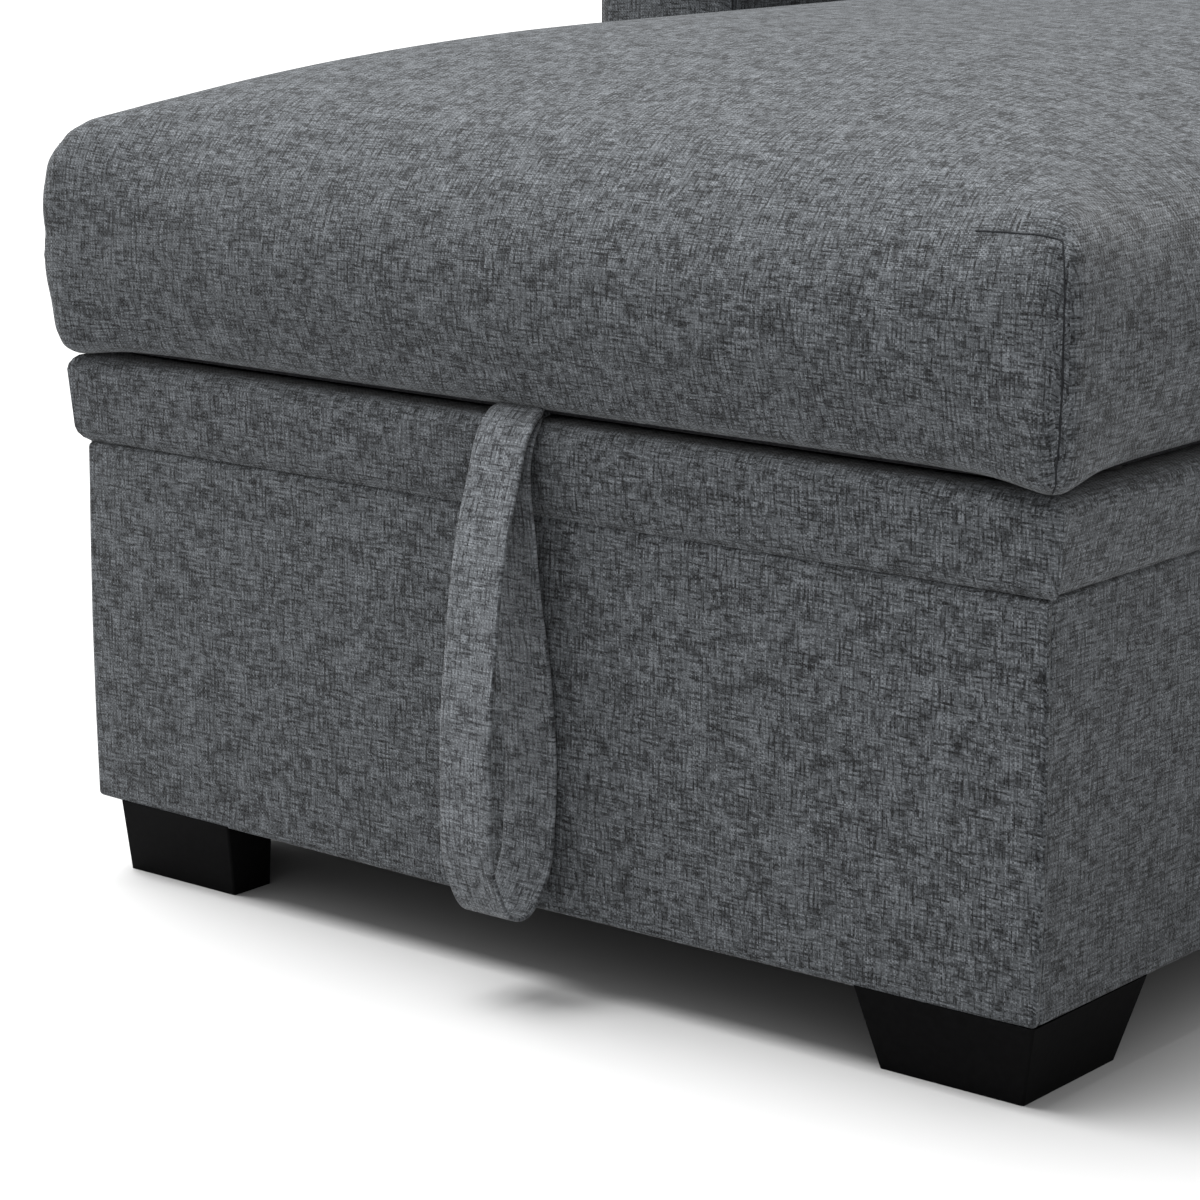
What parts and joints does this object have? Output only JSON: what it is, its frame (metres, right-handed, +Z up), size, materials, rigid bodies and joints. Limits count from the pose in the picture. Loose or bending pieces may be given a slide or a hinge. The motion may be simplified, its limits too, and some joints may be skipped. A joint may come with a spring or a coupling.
{
  "type": "storage chaise longue",
  "caption": "Upholstered chaise longue with one arm, a raked back and a lift-up seat on hinges and gas struts over a storage box, opened by a pull strap.",
  "frame": {"origin": "on the floor under the middle of the bounding box, closed, strap included", "axes": "+Z up, the foot end faces -Y, the arm is on the -X side"},
  "size_m": [0.849, 1.5501, 0.8946],
  "materials": {
    "upholstery": "matte",
    "strap_cloth": "matte",
    "plywood": "matte",
    "timber": "matte",
    "black_lining": "matte",
    "foot_black": "satin",
    "zinc_steel": "satin",
    "strut_black": "satin",
    "strut_chrome": "polished",
    "buffer_rubber": "matte"
  },
  "bodies": {
    "base": {"front_cover": "upholstery", "left_cover": "upholstery", "right_cover": "upholstery", "front_band": "upholstery", "left_band": "upholstery", "right_band": "upholstery", "arm_cover": "upholstery", "back_cover": "upholstery", "front_panel": "plywood", "rear_panel": "plywood", "left_panel": "plywood", "right_panel": "plywood", "storage_floor": "plywood", "corner_blocks": "timber", "floor_cleats": "timber", "hinge_rail": "timber", "arm_frame": "timber", "back_frame": "timber", "arm_spacers": "timber", "storage_lining": "black_lining", "dust_cover": "black_lining", "foot_front_left": "foot_black", "foot_front_right": "foot_black", "foot_rear_left": "foot_black", "foot_rear_right": "foot_black", "arm_feet": "foot_black", "foot_bolts": "zinc_steel", "arm_bolts": "zinc_steel", "hinge_base_leaf_left": "zinc_steel", "hinge_base_leaf_right": "zinc_steel", "hinge_pin_left": "zinc_steel", "hinge_pin_right": "zinc_steel", "strut_base_bracket_left": "zinc_steel", "strut_base_bracket_right": "zinc_steel"},
    "lid": {"lid_board": "plywood", "lid_lining": "black_lining", "lid_battens": "timber", "lid_buffers": "buffer_rubber", "seat_cushion": "upholstery", "strap_tail": "strap_cloth", "strap_clamp": "zinc_steel", "hinge_lid_leaf_left": "zinc_steel", "hinge_lid_leaf_right": "zinc_steel", "strut_lid_bracket_left": "zinc_steel", "strut_lid_bracket_right": "zinc_steel"},
    "strap": {"pull_strap": "strap_cloth"},
    "back_cushion": {"back_cushion": "upholstery"},
    "strut_tube_left": {"strut_tube_left": "strut_black"},
    "strut_rod_left": {"strut_rod_left": "strut_chrome"},
    "strut_tube_right": {"strut_tube_right": "strut_black"},
    "strut_rod_right": {"strut_rod_right": "strut_chrome"}
  },
  "joints": [
    {"name": "lid_hinge", "type": "hinge", "parent": "base", "child": "lid", "pos_m": [0.067, 0.56307, 0.3245], "axis": [-1, 0, 0], "range_deg": [0, 35]},
    {"name": "strap_hang", "type": "hinge", "parent": "lid", "child": "strap", "pos_m": [0.068, -0.72993, 0.326], "axis": [-1, 0, 0], "range_deg": [-18, 0]},
    {"name": "back_cushion_slide", "type": "slide", "parent": "base", "child": "back_cushion", "axis": [0, 0.1736, 0.9848], "range_m": [0, 0.11]},
    {"name": "strut_left_swing", "type": "hinge", "parent": "base", "child": "strut_tube_left", "pos_m": [-0.233, 0.41307, 0.1095], "axis": [-1, 0, 0], "range_deg": [0, 22]},
    {"name": "strut_left_extend", "type": "slide", "parent": "strut_tube_left", "child": "strut_rod_left", "axis": [0, -0.585, 0.811], "range_m": [0, 0.146]},
    {"name": "strut_right_swing", "type": "hinge", "parent": "base", "child": "strut_tube_right", "pos_m": [0.367, 0.41307, 0.1095], "axis": [-1, 0, 0], "range_deg": [0, 22]},
    {"name": "strut_right_extend", "type": "slide", "parent": "strut_tube_right", "child": "strut_rod_right", "axis": [0, -0.585, 0.811], "range_m": [0, 0.146]}
  ],
  "couplings": [
    {"joint": "strap_hang", "follows": "lid_hinge", "ratio": -0.5},
    {"joint": "back_cushion_slide", "follows": "lid_hinge", "m_per_rad": 0.17},
    {"joint": "strut_left_swing", "follows": "lid_hinge", "ratio": 0.6005},
    {"joint": "strut_left_extend", "follows": "lid_hinge", "m_per_rad": 0.2301},
    {"joint": "strut_right_swing", "follows": "lid_hinge", "ratio": 0.6005},
    {"joint": "strut_right_extend", "follows": "lid_hinge", "m_per_rad": 0.2301}
  ]
}
